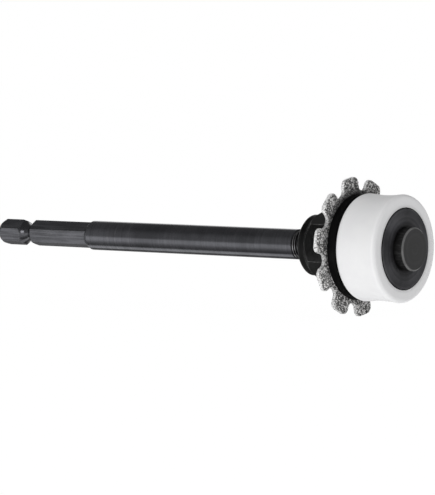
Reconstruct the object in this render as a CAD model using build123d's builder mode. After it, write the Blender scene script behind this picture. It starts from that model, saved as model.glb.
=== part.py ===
# Internal pipe cutter: a diamond-grit toothed wheel on a hex-shank arbor.
# A free-turning nylon roller ahead of the wheel runs against the pipe's inner wall.
# All sizes are in millimetres. The tool's axis is +X, with the origin at the centre
# of the shank's free end, and the cutting head lies towards +X.

import os
from math import cos, hypot, pi, radians

from build123d import *

os.makedirs("parts", exist_ok=True)

# Hex shank, with a groove for the chuck's locking balls
hex_across_flats = 6.35
hex_length = 31.0
hex_roll = 41.5
hex_end_chamfer_length = 1.4
hex_end_chamfer_depth = 0.8
groove_centre_x = 9.5
groove_bottom_diameter = 4.7
groove_arc_radius = 2.6

# Round body, with the spindle's thread cut on the same bar
body_diameter = 8.0
body_length = 69.6
shoulder_cone_length = 1.25
shoulder_cone_depth = 0.7
thread_pitch = 1.0
thread_depth_per_pitch = 0.6134
thread_crest_clearance = 0.05
thread_exposed_length = 4.85
thread_end_chamfer = 0.5

# Hexagonal clamp nut and its locking insert
nut_across_flats = 17.0
nut_length = 11.25
nut_roll = 22.7
nut_collar_step = 0.5
nut_collar_length = 2.3
nut_collar_chamfer = 0.5
nut_cone_length = 2.2
nut_front_chamfer_length = 0.8
nut_front_chamfer_depth = 1.4
insert_wall = 2.25
insert_length = 2.0
insert_lip_thickness = 0.4
insert_lip_height = 0.8

# Toothed cutting wheel: a steel core with diamond grit brazed round its rim
wheel_tip_diameter = 36.6
wheel_roll = 28.0
tooth_count = 10
tooth_height = 3.4
tooth_width = 6.6
tooth_tip_rounding = 1.8
gullet_roundness = 0.5
core_thickness = 0.9
grit_thickness = 0.3
grit_edge_chamfer = 0.25
grit_band_width = 1.1

# Washer and flange that clamp the wheel
rear_washer_step = 3.0
rear_washer_thickness = 1.7
flange_thickness = 2.4
pilot_wall = 0.98
pilot_relief = 0.4
clamp_edge_chamfer = 0.3

# Deep-groove ball bearing
bearing_outer_diameter = 22.0
bearing_width = 7.0
bearing_corner_chamfer = 0.3
ball_diameter = 3.969
ball_count = 7
race_clearance = 0.04
race_depth = 0.575
seal_seat_height = 0.6
seal_inset = 0.1
seal_cage_gap = 0.1
seal_lip_gap = 0.15
cage_sheet_thickness = 0.35
cage_pocket_clearance = 0.08
cage_land_gap = 0.5
rivet_diameter = 0.7
rivet_end_height = 0.15

# Guide roller
roller_rise_over_flange = 0.45
roller_waist_depth = 0.57
roller_edge_rounding = 1.1
roller_side_gap = 0.3
roller_rear_lip_thickness = 2.9
roller_rear_lip_height = 1.4
roller_snap_lip_height = 0.32

# Spacers, cover disc and cap nut
spacer_step = 0.05
front_spacer_length = 1.2
cover_thickness = 1.5
cover_proud = 0.3
cover_side_gap = 0.25
cover_edge_chamfer = 0.2
cap_diameter = 11.4
cap_height = 2.85
cap_edge_chamfer = 0.4
cap_end_wall = 0.8
cap_thread_spare = 0.3

# Clearance in radius between pieces that fit together and do not turn
seat_clearance = 0.02

# Radii of the arbor and of all that is bored to go over its thread
hex_corner_radius = hex_across_flats / 2 / cos(radians(30))
body_radius = body_diameter / 2
bore_radius = body_radius
thread_crest_radius = bore_radius - thread_crest_clearance
thread_root_radius = thread_crest_radius - thread_depth_per_pitch * thread_pitch

# Radii of the clamp nut, the wheel and what clamps it
nut_corner_radius = nut_across_flats / 2 / cos(radians(30))
nut_collar_radius = nut_across_flats / 2 - nut_collar_step
insert_radius = thread_crest_radius + insert_wall
wheel_tip_radius = wheel_tip_diameter / 2
wheel_root_radius = wheel_tip_radius - tooth_height
gullet_width = 2 * pi * wheel_root_radius / tooth_count - tooth_width
gullet_rounding = gullet_roundness * gullet_width
flange_radius = wheel_root_radius - grit_band_width
grit_bore_radius = flange_radius + seat_clearance
rear_washer_radius = flange_radius - rear_washer_step
pilot_radius = bore_radius + pilot_wall
wheel_bore_radius = pilot_radius + seat_clearance

# Radii of the bearing and the cage, worked outwards from the bore
bearing_radius = bearing_outer_diameter / 2
ball_radius = ball_diameter / 2
ball_circle_radius = (bore_radius + bearing_radius) / 2
race_radius = ball_radius + race_clearance
inner_ring_radius = ball_circle_radius - race_radius + race_depth
outer_land_radius = ball_circle_radius + race_radius - race_depth
seal_seat_radius = outer_land_radius + seal_seat_height
cage_pocket_radius = ball_radius + cage_pocket_clearance
cage_arch_radius = cage_pocket_radius + cage_sheet_thickness
cage_inner_radius = inner_ring_radius + cage_land_gap
cage_outer_radius = outer_land_radius - cage_land_gap
seal_thickness = bearing_width / 2 - cage_arch_radius - seal_cage_gap - seal_inset

# Radii of the roller, which stands a little higher than the flange
roller_bore_radius = bearing_radius + seat_clearance
roller_lip_radius = roller_bore_radius - roller_rear_lip_height
roller_mouth_radius = roller_bore_radius - roller_snap_lip_height
roller_edge_radius = flange_radius + roller_rise_over_flange
roller_wall_thickness = roller_edge_radius - roller_bore_radius
roller_edge_fillet = min(roller_edge_rounding, roller_wall_thickness / 2)
roller_width = (
    roller_rear_lip_thickness + bearing_width + front_spacer_length + cover_thickness - cover_proud
)

# Radii of the spacers, the cover disc and the cap
spacer_radius = inner_ring_radius - spacer_step
cover_radius = roller_mouth_radius - cover_side_gap
cap_radius = cap_diameter / 2

# Places along the axis, each one stacked on the last
body_start_x = hex_length + shoulder_cone_length
body_end_x = body_start_x + body_length
thread_start_x = body_end_x + body_radius - thread_root_radius
nut_x = body_end_x + thread_exposed_length
insert_x = nut_x + insert_lip_thickness
hexagon_x = nut_x + nut_collar_length
rear_washer_x = nut_x + nut_length
core_x = rear_washer_x + rear_washer_thickness
flange_x = core_x + core_thickness
rear_spacer_x = flange_x + flange_thickness
roller_x = rear_spacer_x + roller_side_gap
bearing_x = roller_x + roller_rear_lip_thickness
bearing_middle_x = bearing_x + bearing_width / 2
front_spacer_x = bearing_x + bearing_width
cover_x = front_spacer_x + front_spacer_length
roller_front_x = roller_x + roller_width
cap_x = cover_x + cover_thickness
cap_end_x = cap_x + cap_height
cap_thread_depth = cap_height - cap_end_wall
spindle_end_x = cap_x + cap_thread_depth - cap_thread_spare

bearing_middle = Plane.YZ.offset(bearing_middle_x)


def ring_section(start_x, length, outer_radius, inner_radius, mode=Mode.ADD):
    """Draw the half section of a plain ring, to be turned about the axis."""
    with Locations((start_x, inner_radius)):
        Rectangle(length, outer_radius - inner_radius, align=(Align.MIN, Align.MIN), mode=mode)


def corners_at(section, x, radius):
    """Pick the corners of a half section at one place along the axis and one radius."""
    near = 1e-4
    return section.vertices().filter_by(
        lambda corner: abs(corner.X - x) < near and abs(corner.Y - radius) < near
    )


def at_balls():
    """Give the places of the balls round the bearing."""
    return PolarLocations(ball_circle_radius, ball_count)


def between_balls():
    """Give the places halfway between the balls."""
    return PolarLocations(ball_circle_radius, ball_count, start_angle=180 / ball_count)


def radial_bars_at_balls(radius, mode):
    """Place a round bar over each ball, pointing at the axis, to arch the cage or cut it."""
    with Locations(bearing_middle):
        with at_balls():
            Cylinder(radius, ball_diameter, rotation=(0, 90, 0), mode=mode)


def cage_band():
    """Draw the flat band that both cage halves are pressed from."""
    Circle(cage_outer_radius)
    Circle(cage_inner_radius, mode=Mode.SUBTRACT)


def toothed_outline(sketch, inset):
    """Draw the wheel's outline, with every edge drawn in by the inset."""
    Circle(wheel_root_radius - inset)
    with PolarLocations(0, tooth_count, start_angle=wheel_roll):
        tooth_reach = wheel_tip_radius - inset
        Rectangle(tooth_reach, tooth_width - 2 * inset, align=(Align.MIN, Align.CENTER))
    mid_tooth = wheel_root_radius + tooth_height / 2
    tips = sketch.vertices().filter_by(lambda corner: hypot(corner.X, corner.Y) > mid_tooth)
    fillet(tips, tooth_tip_rounding - inset)
    roots = sketch.vertices().filter_by(lambda corner: hypot(corner.X, corner.Y) < mid_tooth)
    fillet(roots, gullet_rounding + inset)


# Arbor: hex shank, round body and threaded spindle in one bar. The thread is plain here:
# at its root where it stands open, and at its crest where the other pieces centre on it.
with BuildPart() as arbor:
    with BuildSketch(Plane.YZ):
        RegularPolygon(hex_across_flats / 2, 6, major_radius=False, rotation=hex_roll)
    extrude(amount=body_start_x)
    with BuildSketch(Plane.XY):
        with BuildLine():
            Polyline(
                (0, 0),
                (0, hex_corner_radius - hex_end_chamfer_depth),
                (hex_end_chamfer_length, hex_corner_radius),
                (body_start_x, hex_corner_radius),
                (body_start_x, 0),
                close=True,
            )
        make_face()
    revolve(axis=Axis.X, mode=Mode.INTERSECT)
    with BuildSketch(Plane.XY):
        with Locations((groove_centre_x, groove_bottom_diameter / 2 + groove_arc_radius)):
            Circle(groove_arc_radius)
    revolve(axis=Axis.X, mode=Mode.SUBTRACT)
    with BuildSketch(Plane.XY):
        with BuildLine():
            Polyline(
                (hex_length, 0),
                (hex_length, body_radius - shoulder_cone_depth),
                (body_start_x, body_radius),
                (body_end_x, body_radius),
                (thread_start_x, thread_root_radius),
                (insert_x, thread_root_radius),
                (insert_x, thread_crest_radius),
                (spindle_end_x - thread_end_chamfer, thread_crest_radius),
                (spindle_end_x, thread_crest_radius - thread_end_chamfer),
                (spindle_end_x, 0),
                close=True,
            )
        make_face()
    revolve(axis=Axis.X)

# Clamp nut: a hexagon with coned ends, and a round collar at the rear for the insert
with BuildPart() as clamp_nut:
    with BuildSketch(Plane.YZ.offset(hexagon_x)):
        RegularPolygon(nut_across_flats / 2, 6, major_radius=False, rotation=nut_roll)
    extrude(amount=rear_washer_x - hexagon_x)
    with BuildSketch(Plane.XY):
        with BuildLine():
            Polyline(
                (hexagon_x, 0),
                (hexagon_x, nut_collar_radius),
                (hexagon_x + nut_cone_length, nut_corner_radius),
                (rear_washer_x - nut_front_chamfer_length, nut_corner_radius),
                (rear_washer_x, nut_corner_radius - nut_front_chamfer_depth),
                (rear_washer_x, 0),
                close=True,
            )
        make_face()
    revolve(axis=Axis.X, mode=Mode.INTERSECT)
    with BuildSketch(Plane.XY) as collar_section:
        ring_section(nut_x, nut_collar_length, nut_collar_radius, 0)
        chamfer(corners_at(collar_section, nut_x, nut_collar_radius), nut_collar_chamfer)
    revolve(axis=Axis.X)
    with BuildSketch(Plane.XY):
        ring_section(nut_x, nut_length, bore_radius, 0)
        ring_section(nut_x, insert_lip_thickness, insert_radius - insert_lip_height, 0)
        ring_section(insert_x, insert_length, insert_radius, 0)
    revolve(axis=Axis.X, mode=Mode.SUBTRACT)

# Nylon ring that grips the thread, held under the nut's rear lip
with BuildPart() as locking_insert:
    with BuildSketch(Plane.XY):
        insert_grip_radius = thread_crest_radius + seat_clearance
        ring_section(insert_x, insert_length, insert_radius - seat_clearance, insert_grip_radius)
    revolve(axis=Axis.X)

# Plain washer between the clamp nut and the cutting wheel
with BuildPart() as rear_washer:
    with BuildSketch(Plane.XY) as washer_section:
        ring_section(rear_washer_x, rear_washer_thickness, rear_washer_radius, bore_radius)
        chamfer(corners_at(washer_section, rear_washer_x, rear_washer_radius), clamp_edge_chamfer)
    revolve(axis=Axis.X)

# Steel core of the cutting wheel, with one stub under each grit tooth
with BuildPart() as wheel_core:
    with BuildSketch(Plane.YZ.offset(core_x)) as core_outline:
        toothed_outline(core_outline, grit_thickness)
        Circle(wheel_bore_radius, mode=Mode.SUBTRACT)
    extrude(amount=core_thickness)

# Diamond grit brazed round the rim: both faces, the gullets and all of each tooth
with BuildPart() as grit_teeth:
    with BuildSketch(Plane.YZ.offset(core_x - grit_thickness)) as grit_outline:
        toothed_outline(grit_outline, 0)
    extrude(amount=core_thickness + 2 * grit_thickness)
    chamfer(grit_teeth.faces().filter_by(Axis.X).edges(), grit_edge_chamfer)
    with BuildSketch(Plane.YZ.offset(core_x - grit_thickness)):
        Circle(grit_bore_radius)
    extrude(amount=core_thickness + 2 * grit_thickness, mode=Mode.SUBTRACT)
    add(wheel_core.part, mode=Mode.SUBTRACT)

# Flange ahead of the wheel, with a short pilot that centres the wheel's bore
with BuildPart() as front_flange:
    with BuildSketch(Plane.XY) as flange_section:
        pilot_length = core_thickness - pilot_relief
        ring_section(flange_x, flange_thickness, flange_radius, bore_radius)
        ring_section(flange_x - pilot_length, pilot_length, pilot_radius, bore_radius)
        chamfer(corners_at(flange_section, rear_spacer_x, flange_radius), clamp_edge_chamfer)
    revolve(axis=Axis.X)

# Spacer from the flange to the bearing's inner ring
with BuildPart() as rear_spacer:
    with BuildSketch(Plane.XY):
        ring_section(rear_spacer_x, bearing_x - rear_spacer_x, spacer_radius, bore_radius)
    revolve(axis=Axis.X)

# Guide roller: a waisted nylon tyre, bored to seat the bearing, which is pushed in from the
# front past a low snap lip and rests against a deeper lip at the rear
with BuildPart() as guide_roller:
    with BuildSketch(Plane.XY) as roller_section:
        with BuildLine():
            Polyline(
                (roller_front_x, roller_edge_radius),
                (roller_front_x, roller_mouth_radius),
                (front_spacer_x, roller_mouth_radius),
                (front_spacer_x, roller_bore_radius),
                (bearing_x, roller_bore_radius),
                (bearing_x, roller_lip_radius),
                (roller_x, roller_lip_radius),
                (roller_x, roller_edge_radius),
            )
            ThreePointArc(
                (roller_x, roller_edge_radius),
                ((roller_x + roller_front_x) / 2, roller_edge_radius - roller_waist_depth),
                (roller_front_x, roller_edge_radius),
            )
        make_face()
        rear_edge = corners_at(roller_section, roller_x, roller_edge_radius)
        front_edge = corners_at(roller_section, roller_front_x, roller_edge_radius)
        fillet(rear_edge + front_edge, roller_edge_fillet)
    revolve(axis=Axis.X)

# Bearing's inner ring, with its ball groove
with BuildPart() as bearing_inner_ring:
    with BuildSketch(Plane.XY) as inner_section:
        ring_section(bearing_x, bearing_width, inner_ring_radius, bore_radius)
        chamfer(inner_section.vertices(), bearing_corner_chamfer)
        with Locations((bearing_middle_x, ball_circle_radius)):
            Circle(race_radius, mode=Mode.SUBTRACT)
    revolve(axis=Axis.X)

# Bearing's outer ring, with its ball groove and a seat for a seal at each face
with BuildPart() as bearing_outer_ring:
    with BuildSketch(Plane.XY) as outer_section:
        seal_seat_depth = seal_inset + seal_thickness + seat_clearance
        ring_section(bearing_x, bearing_width, bearing_radius, outer_land_radius)
        rear_corner = corners_at(outer_section, bearing_x, bearing_radius)
        front_corner = corners_at(outer_section, front_spacer_x, bearing_radius)
        chamfer(rear_corner + front_corner, bearing_corner_chamfer)
        ring_section(bearing_x, seal_seat_depth, seal_seat_radius, 0, Mode.SUBTRACT)
        ring_section(front_spacer_x - seal_seat_depth, seal_seat_depth, seal_seat_radius, 0, Mode.SUBTRACT)
        with Locations((bearing_middle_x, ball_circle_radius)):
            Circle(race_radius, mode=Mode.SUBTRACT)
    revolve(axis=Axis.X)

# Bearing's balls, as a group of separate solids
with BuildPart() as bearing_balls:
    with Locations(bearing_middle):
        with at_balls():
            Sphere(ball_radius)

# Front half of the ball cage: a pressed ribbon, arched over each ball
with BuildPart() as cage_front:
    with BuildSketch(bearing_middle):
        cage_band()
    extrude(amount=cage_sheet_thickness)
    radial_bars_at_balls(cage_arch_radius, Mode.ADD)
    with BuildSketch(bearing_middle):
        cage_band()
    extrude(amount=bearing_width / 2, mode=Mode.INTERSECT)
    radial_bars_at_balls(cage_pocket_radius, Mode.SUBTRACT)
    with Locations(bearing_middle):
        with between_balls():
            Cylinder(rivet_diameter / 2 + seat_clearance, bearing_width, mode=Mode.SUBTRACT)

# Rear half of the ball cage, the front half's mirror image
with BuildPart() as cage_rear:
    mirror(cage_front.part, about=bearing_middle)

# Rivets that hold the two cage halves together, as plain pins
with BuildPart() as cage_rivets:
    with Locations(bearing_middle):
        with between_balls():
            Cylinder(rivet_diameter / 2, 2 * (cage_sheet_thickness + rivet_end_height))

# Rubber seal snapped into the rear of the outer ring, and its twin at the front
with BuildPart() as seal_rear:
    with BuildSketch(Plane.XY):
        seal_outer_radius = seal_seat_radius - seat_clearance
        seal_inner_radius = inner_ring_radius + seal_lip_gap
        ring_section(bearing_x + seal_inset, seal_thickness, seal_outer_radius, seal_inner_radius)
    revolve(axis=Axis.X)

with BuildPart() as seal_front:
    mirror(seal_rear.part, about=bearing_middle)

# Spacer from the bearing's inner ring to the cover disc
with BuildPart() as front_spacer:
    with BuildSketch(Plane.XY):
        ring_section(front_spacer_x, front_spacer_length, spacer_radius, bore_radius)
    revolve(axis=Axis.X)

# Cover disc that closes the mouth of the roller in front of the bearing
with BuildPart() as cover_disc:
    with BuildSketch(Plane.XY) as cover_section:
        ring_section(cover_x, cover_thickness, cover_radius, bore_radius)
        chamfer(corners_at(cover_section, cap_x, cover_radius), cover_edge_chamfer)
    revolve(axis=Axis.X)

# Cap nut: a plain round button, threaded blind onto the end of the spindle
with BuildPart() as cap_nut:
    with BuildSketch(Plane.XY) as cap_section:
        ring_section(cap_x, cap_height, cap_radius, 0)
        chamfer(corners_at(cap_section, cap_end_x, cap_radius), cap_edge_chamfer)
        ring_section(cap_x, cap_thread_depth, bore_radius, 0, Mode.SUBTRACT)
    revolve(axis=Axis.X)

pieces = {
    "arbor": arbor,
    "clamp_nut": clamp_nut,
    "locking_insert": locking_insert,
    "rear_washer": rear_washer,
    "wheel_core": wheel_core,
    "grit_teeth": grit_teeth,
    "front_flange": front_flange,
    "rear_spacer": rear_spacer,
    "guide_roller": guide_roller,
    "bearing_inner_ring": bearing_inner_ring,
    "bearing_outer_ring": bearing_outer_ring,
    "bearing_balls": bearing_balls,
    "cage_front": cage_front,
    "cage_rear": cage_rear,
    "cage_rivets": cage_rivets,
    "seal_rear": seal_rear,
    "seal_front": seal_front,
    "front_spacer": front_spacer,
    "cover_disc": cover_disc,
    "cap_nut": cap_nut,
}
for name, piece in pieces.items():
    piece.part.label = name
    export_step(piece.part, f"parts/{name}.step")
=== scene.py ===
"""Looks of an internal pipe cutter: a toothed grit wheel and a guide roller on a hex-shank arbor.

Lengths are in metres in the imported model's own frame. The tool's axis is X, with the shank's
free end at the origin and the cutting head towards +X.
"""

import logging
import math
from dataclasses import dataclass, field
from enum import Enum

import bpy
from mathutils import Matrix, Vector, noise
from mathutils.bvhtree import BVHTree


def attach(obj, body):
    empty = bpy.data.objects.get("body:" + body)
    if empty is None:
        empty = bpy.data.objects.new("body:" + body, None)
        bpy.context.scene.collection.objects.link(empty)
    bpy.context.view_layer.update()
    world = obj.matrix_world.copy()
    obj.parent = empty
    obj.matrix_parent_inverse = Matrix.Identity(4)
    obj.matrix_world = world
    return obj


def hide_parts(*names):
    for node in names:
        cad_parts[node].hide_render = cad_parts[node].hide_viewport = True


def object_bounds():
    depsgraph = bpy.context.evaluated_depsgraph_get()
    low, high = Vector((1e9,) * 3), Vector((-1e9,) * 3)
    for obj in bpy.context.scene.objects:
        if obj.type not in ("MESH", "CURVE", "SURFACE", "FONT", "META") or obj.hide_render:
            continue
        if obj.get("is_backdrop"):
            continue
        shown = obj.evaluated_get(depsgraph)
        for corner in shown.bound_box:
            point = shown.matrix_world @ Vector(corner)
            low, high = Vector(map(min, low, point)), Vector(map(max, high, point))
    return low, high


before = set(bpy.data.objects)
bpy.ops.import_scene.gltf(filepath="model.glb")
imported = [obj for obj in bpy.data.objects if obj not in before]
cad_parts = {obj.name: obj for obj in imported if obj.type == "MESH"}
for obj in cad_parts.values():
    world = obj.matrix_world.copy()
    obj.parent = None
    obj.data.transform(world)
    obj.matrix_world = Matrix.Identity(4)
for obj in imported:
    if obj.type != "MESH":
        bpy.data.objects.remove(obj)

LOG = logging.getLogger("pipe_cutter")
MM = 0.001

Colour = tuple[float, float, float, float]
Range = tuple[float, float]
Socket = bpy.types.NodeSocket

FULL: Range = (0.0, 1.0)


class Body(Enum):
    """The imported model's rigid body that new pieces ride on."""

    ARBOR = "arbor"


class Slot(Enum):
    """The record's material slots; the new pieces don't take their finish from them."""

    BLACK_OXIDE_STEEL = "black_oxide_steel"
    DIAMOND_GRIT = "diamond_grit"


def grey(level: float) -> Colour:
    """Give a neutral grey of one level."""
    return (level, level, level, 1.0)


def share(value: float) -> float:
    """Keep a value between 0 and 1."""
    return max(0.0, min(1.0, value))


def lifted(wave: float) -> float:
    """Turn a noise from -1 to 1 into one from 0 to 1."""
    return 0.5 + 0.5 * wave


@dataclass(frozen=True)
class Band:
    """A band of places: its middle, half its width, and how far its edges fade."""

    middle: float
    half: float
    fade: float


class NodeTree:
    """Adds nodes to one shader node tree and links them by socket name."""

    nodes_in_row = 12
    node_width = 220
    node_height = 260

    def __init__(self, tree: bpy.types.NodeTree) -> None:
        """Take over a tree and empty it.

        Args:
            tree: The node tree to build in.
        """
        self.tree = tree
        self.tree.nodes.clear()
        self.count = 0

    def feed(self, socket: Socket, value: object) -> None:
        """Set an input socket, or link it.

        Args:
            socket: The input.
            value: A plain value, or the output socket that feeds it.
        """
        if isinstance(value, Socket):
            self.tree.links.new(value, socket)
        else:
            socket.default_value = value

    def add(self, kind: str, inputs: dict | None = None, **settings: object) -> bpy.types.Node:
        """Add one node.

        Args:
            kind: The node's type, such as "ShaderNodeMath".
            inputs: What goes into its sockets, by name or number: a value or an output socket.
            **settings: The node's own properties, such as operation="ADD".

        Returns:
            The new node.
        """
        node = self.tree.nodes.new(kind)
        row, column = divmod(self.count, self.nodes_in_row)
        node.location = (self.node_width * column, -self.node_height * row)
        self.count += 1
        for name, value in settings.items():
            setattr(node, name, value)
        for key, value in (inputs or {}).items():
            self.feed(node.inputs[key], value)
        return node

    def math(self, operation: str, *terms: object, clamp: bool = False) -> Socket:
        """Work out one value from others.

        Args:
            operation: The math node's operation, such as "ADD".
            *terms: Numbers or output sockets, in the operation's order.
            clamp: Whether the result is kept between 0 and 1.

        Returns:
            The result's socket.
        """
        node = self.add("ShaderNodeMath", dict(enumerate(terms)), operation=operation, use_clamp=clamp)
        return node.outputs["Value"]

    def product(self, first: object, *others: object, clamp: bool = False) -> Socket:
        """Multiply values.

        Args:
            first: The first number or output socket.
            *others: The numbers or sockets to multiply it by.
            clamp: Whether the result is kept between 0 and 1.

        Returns:
            The product's socket.
        """
        for other in others[:-1]:
            first = self.math("MULTIPLY", first, other)
        return self.math("MULTIPLY", first, others[-1], clamp=clamp)

    def measure(self, operation: str, *vectors: object) -> Socket:
        """Work out one value from vectors, such as their DOT_PRODUCT."""
        node = self.add("ShaderNodeVectorMath", dict(enumerate(vectors)), operation=operation)
        return node.outputs["Value"]

    def parts(self, vector: Socket) -> bpy.types.NodeOutputs:
        """Take a vector apart into its X, Y and Z."""
        return self.add("ShaderNodeSeparateXYZ", {"Vector": vector}).outputs

    def vector(self, **parts: object) -> Socket:
        """Put a vector together from its X, Y and Z."""
        return self.add("ShaderNodeCombineXYZ", parts).outputs[0]

    def spot(self) -> Socket:
        """Give the place on the surface, in the tool's own metres."""
        return self.add("ShaderNodeTexCoord").outputs["Object"]

    def radius(self, place: Socket) -> Socket:
        """Give a place's distance from the tool's axis."""
        parts = self.parts(place)
        return self.measure("LENGTH", self.vector(Y=parts["Y"], Z=parts["Z"]))

    def blend(self, factor: object, first: object, second: object) -> Socket:
        """Mix two colours.

        Args:
            factor: How much of the second colour shows, from 0 to 1.
            first: The colour or socket at factor 0.
            second: The colour or socket at factor 1.

        Returns:
            The mixed colour's socket.
        """
        # A colour mix takes its factor and colours in sockets 0, 6 and 7, and gives output 2.
        return self.add("ShaderNodeMix", {0: factor, 6: first, 7: second}, data_type="RGBA").outputs[2]

    def spread(self, value: object, ends: tuple, results: tuple = FULL) -> Socket:
        """Map a value from one range to another, softly and within its ends.

        Args:
            value: The socket to map.
            ends: The two values that become the two results.
            results: What they become.

        Returns:
            The mapped value's socket.
        """
        inputs = {"Value": value}
        inputs |= zip(("From Min", "From Max", "To Min", "To Max"), (*ends, *results))
        return self.add("ShaderNodeMapRange", inputs, interpolation_type="SMOOTHSTEP").outputs["Result"]

    def within(self, value: Socket, middle: object, half: object, fade: object) -> Socket:
        """Mask the values in a band.

        Args:
            value: The socket that the band is measured on.
            middle: The band's middle.
            half: Half its width.
            fade: How far its edges fade.

        Returns:
            The mask: 1 in the band and 0 outside it.
        """
        away = self.math("ABSOLUTE", self.math("SUBTRACT", value, middle))
        return self.math("DIVIDE", self.math("SUBTRACT", half, away), fade, clamp=True)

    def noise(self, place: Socket, scale: object, detail: float = 3.0, roughness: float = 0.65) -> Socket:
        """Lay a noise over the surface.

        Args:
            place: The place that the noise is read at.
            scale: How many waves it has in a metre.
            detail: How many finer waves lie on them.
            roughness: How strong the finer waves are.

        Returns:
            The noise, about 0 to 1.
        """
        inputs = {"Vector": place, "Scale": scale, "Detail": detail, "Roughness": roughness}
        return self.add("ShaderNodeTexNoise", inputs).outputs["Fac"]

    def relief(self, height: Socket, depth: float) -> Socket:
        """Turn a height from 0 to 1 into a leaning normal, for a whole depth in metres."""
        return self.add("ShaderNodeBump", {"Distance": depth, "Height": height}).outputs["Normal"]


class Effect(NodeTree):
    """A surface effect that several finishes share, held as a shader node group."""

    title = "effect"
    takes: dict[str, float] = {}

    def __init__(self) -> None:
        """Make the group, with its named inputs, and fill it."""
        super().__init__(bpy.data.node_groups.new(self.title, "ShaderNodeTree"))
        for name, value in self.takes.items():
            self.new_socket(name, "INPUT").default_value = value
        self.entry = self.add("NodeGroupInput").outputs
        results = self.fill()
        for name in results:
            self.new_socket(name, "OUTPUT")
        self.add("NodeGroupOutput", results)

    def new_socket(self, name: str, side: str) -> bpy.types.NodeTreeInterfaceSocket:
        """Give the group a named socket on one side, INPUT or OUTPUT."""
        return self.tree.interface.new_socket(name=name, in_out=side, socket_type="NodeSocketFloat")

    def fill(self) -> dict[str, Socket]:
        """Build the effect.

        Returns:
            The output sockets, by the name that the group gives them.
        """
        raise NotImplementedError

    def place(self, nodes: NodeTree, **inputs: object) -> bpy.types.NodeOutputs:
        """Put the effect into a material.

        Args:
            nodes: The material's tree.
            **inputs: Values or sockets for the group's inputs, with _ for a space.

        Returns:
            The group's outputs.
        """
        named = {name.replace("_", " "): value for name, value in inputs.items()}
        return nodes.add("ShaderNodeGroup", named, node_tree=self.tree).outputs


class TurningMarks(Effect):
    """Fine rings that a lathe leaves: side by side along a bar, and as circles on a face."""

    title = "turning_marks"
    takes = {"Rings Per Metre": 4000.0, "Patches Per Metre": 90.0}

    def fill(self) -> dict[str, Socket]:
        """Build rings from the place along the axis and the distance from it.

        Returns:
            The rings and the patches in which they show, each about 0 to 1.
        """
        place = self.spot()
        turned = self.vector(X=self.parts(place)["X"], Y=self.radius(place))
        return {
            "Rings": self.noise(turned, self.entry["Rings Per Metre"]),
            "Patches": self.noise(place, self.entry["Patches Per Metre"], detail=4.0),
        }


class EdgeWear(Effect):
    """A mask that is 1 on rubbed edges and 0 on open surfaces, broken up by a noise."""

    title = "edge_wear"
    takes = {"Width": 0.0002, "Breaks Per Metre": 900.0, "Reach": 1.0}
    lean_ends: Range = (0.01, 0.14)
    break_ends: Range = (0.35, 0.65)
    break_shares: Range = (0.3, 1.0)

    def fill(self) -> dict[str, Socket]:
        """Build the mask from how far the rounded normal leans from the plain one.

        Returns:
            The mask.
        """
        rounded = self.add("ShaderNodeBevel", {"Radius": self.entry["Width"]}, samples=6).outputs["Normal"]
        plain = self.add("ShaderNodeNewGeometry").outputs["Normal"]
        lean = self.math("SUBTRACT", 1.0, self.measure("DOT_PRODUCT", rounded, plain))
        breaks = self.noise(self.spot(), self.entry["Breaks Per Metre"])
        broken = self.spread(breaks, self.break_ends, self.break_shares)
        edge = self.spread(lean, self.lean_ends)
        return {"Mask": self.product(edge, broken, self.entry["Reach"], clamp=True)}


class Mottle(Effect):
    """Soft clouds, and a fine grain over them."""

    title = "mottle"
    takes = {"Clouds Per Metre": 120.0, "Grains Per Metre": 6000.0}

    def fill(self) -> dict[str, Socket]:
        """Build the two noises.

        Returns:
            The clouds and the grains, each about 0 to 1.
        """
        place = self.spot()
        return {
            "Clouds": self.noise(place, self.entry["Clouds Per Metre"]),
            "Grains": self.noise(place, self.entry["Grains Per Metre"], detail=2.0),
        }


class CreviceShade(Effect):
    """A mask for painted shade: 1 deep in corners and gaps, where shade falls, and 0 in the open."""

    title = "crevice_shade"
    takes = {"Reach": 0.002, "Closed Below": 0.45, "Amount": 1.0}
    open_above = 0.97

    def fill(self) -> dict[str, Socket]:
        """Build the mask from how much of the surroundings is shut off.

        Returns:
            The mask.
        """
        looked = self.add("ShaderNodeAmbientOcclusion", {"Distance": self.entry["Reach"]}, samples=12)
        shut = self.spread(looked.outputs["AO"], (self.entry["Closed Below"], self.open_above), (1.0, 0.0))
        return {"Mask": self.product(shut, self.entry["Amount"], clamp=True)}


class BandMask(Effect):
    """A mask that is 1 on a band of the surface and fades out at both its edges."""

    takes = {"Middle": 0.0, "Half Width": 0.0, "Fade": 0.0}

    def measured(self) -> Socket:
        """Give the value that the band is measured on."""
        raise NotImplementedError

    def fill(self) -> dict[str, Socket]:
        """Build the mask from the measured value."""
        middle, half, fade = (self.entry[name] for name in self.takes)
        return {"Mask": self.within(self.measured(), middle, half, fade)}


class AxisBand(BandMask):
    """A band along the tool's length."""

    title = "axis_band"

    def measured(self) -> Socket:
        """Give the place along the axis."""
        return self.parts(self.spot())["X"]


class RadiusBand(BandMask):
    """A band round the tool's axis."""

    title = "radius_band"

    def measured(self) -> Socket:
        """Give the distance from the axis."""
        return self.radius(self.spot())


class EndFacing(Effect):
    """A mask that is 1 on faces square to the tool's axis and 0 on its turned sides."""

    title = "end_facing"
    lean_ends: Range = (0.3, 0.75)

    def fill(self) -> dict[str, Socket]:
        """Build the mask from the surface's own normal."""
        along = self.parts(self.add("ShaderNodeTexCoord").outputs["Normal"])["X"]
        return {"Mask": self.spread(self.math("ABSOLUTE", along), self.lean_ends)}


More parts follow.
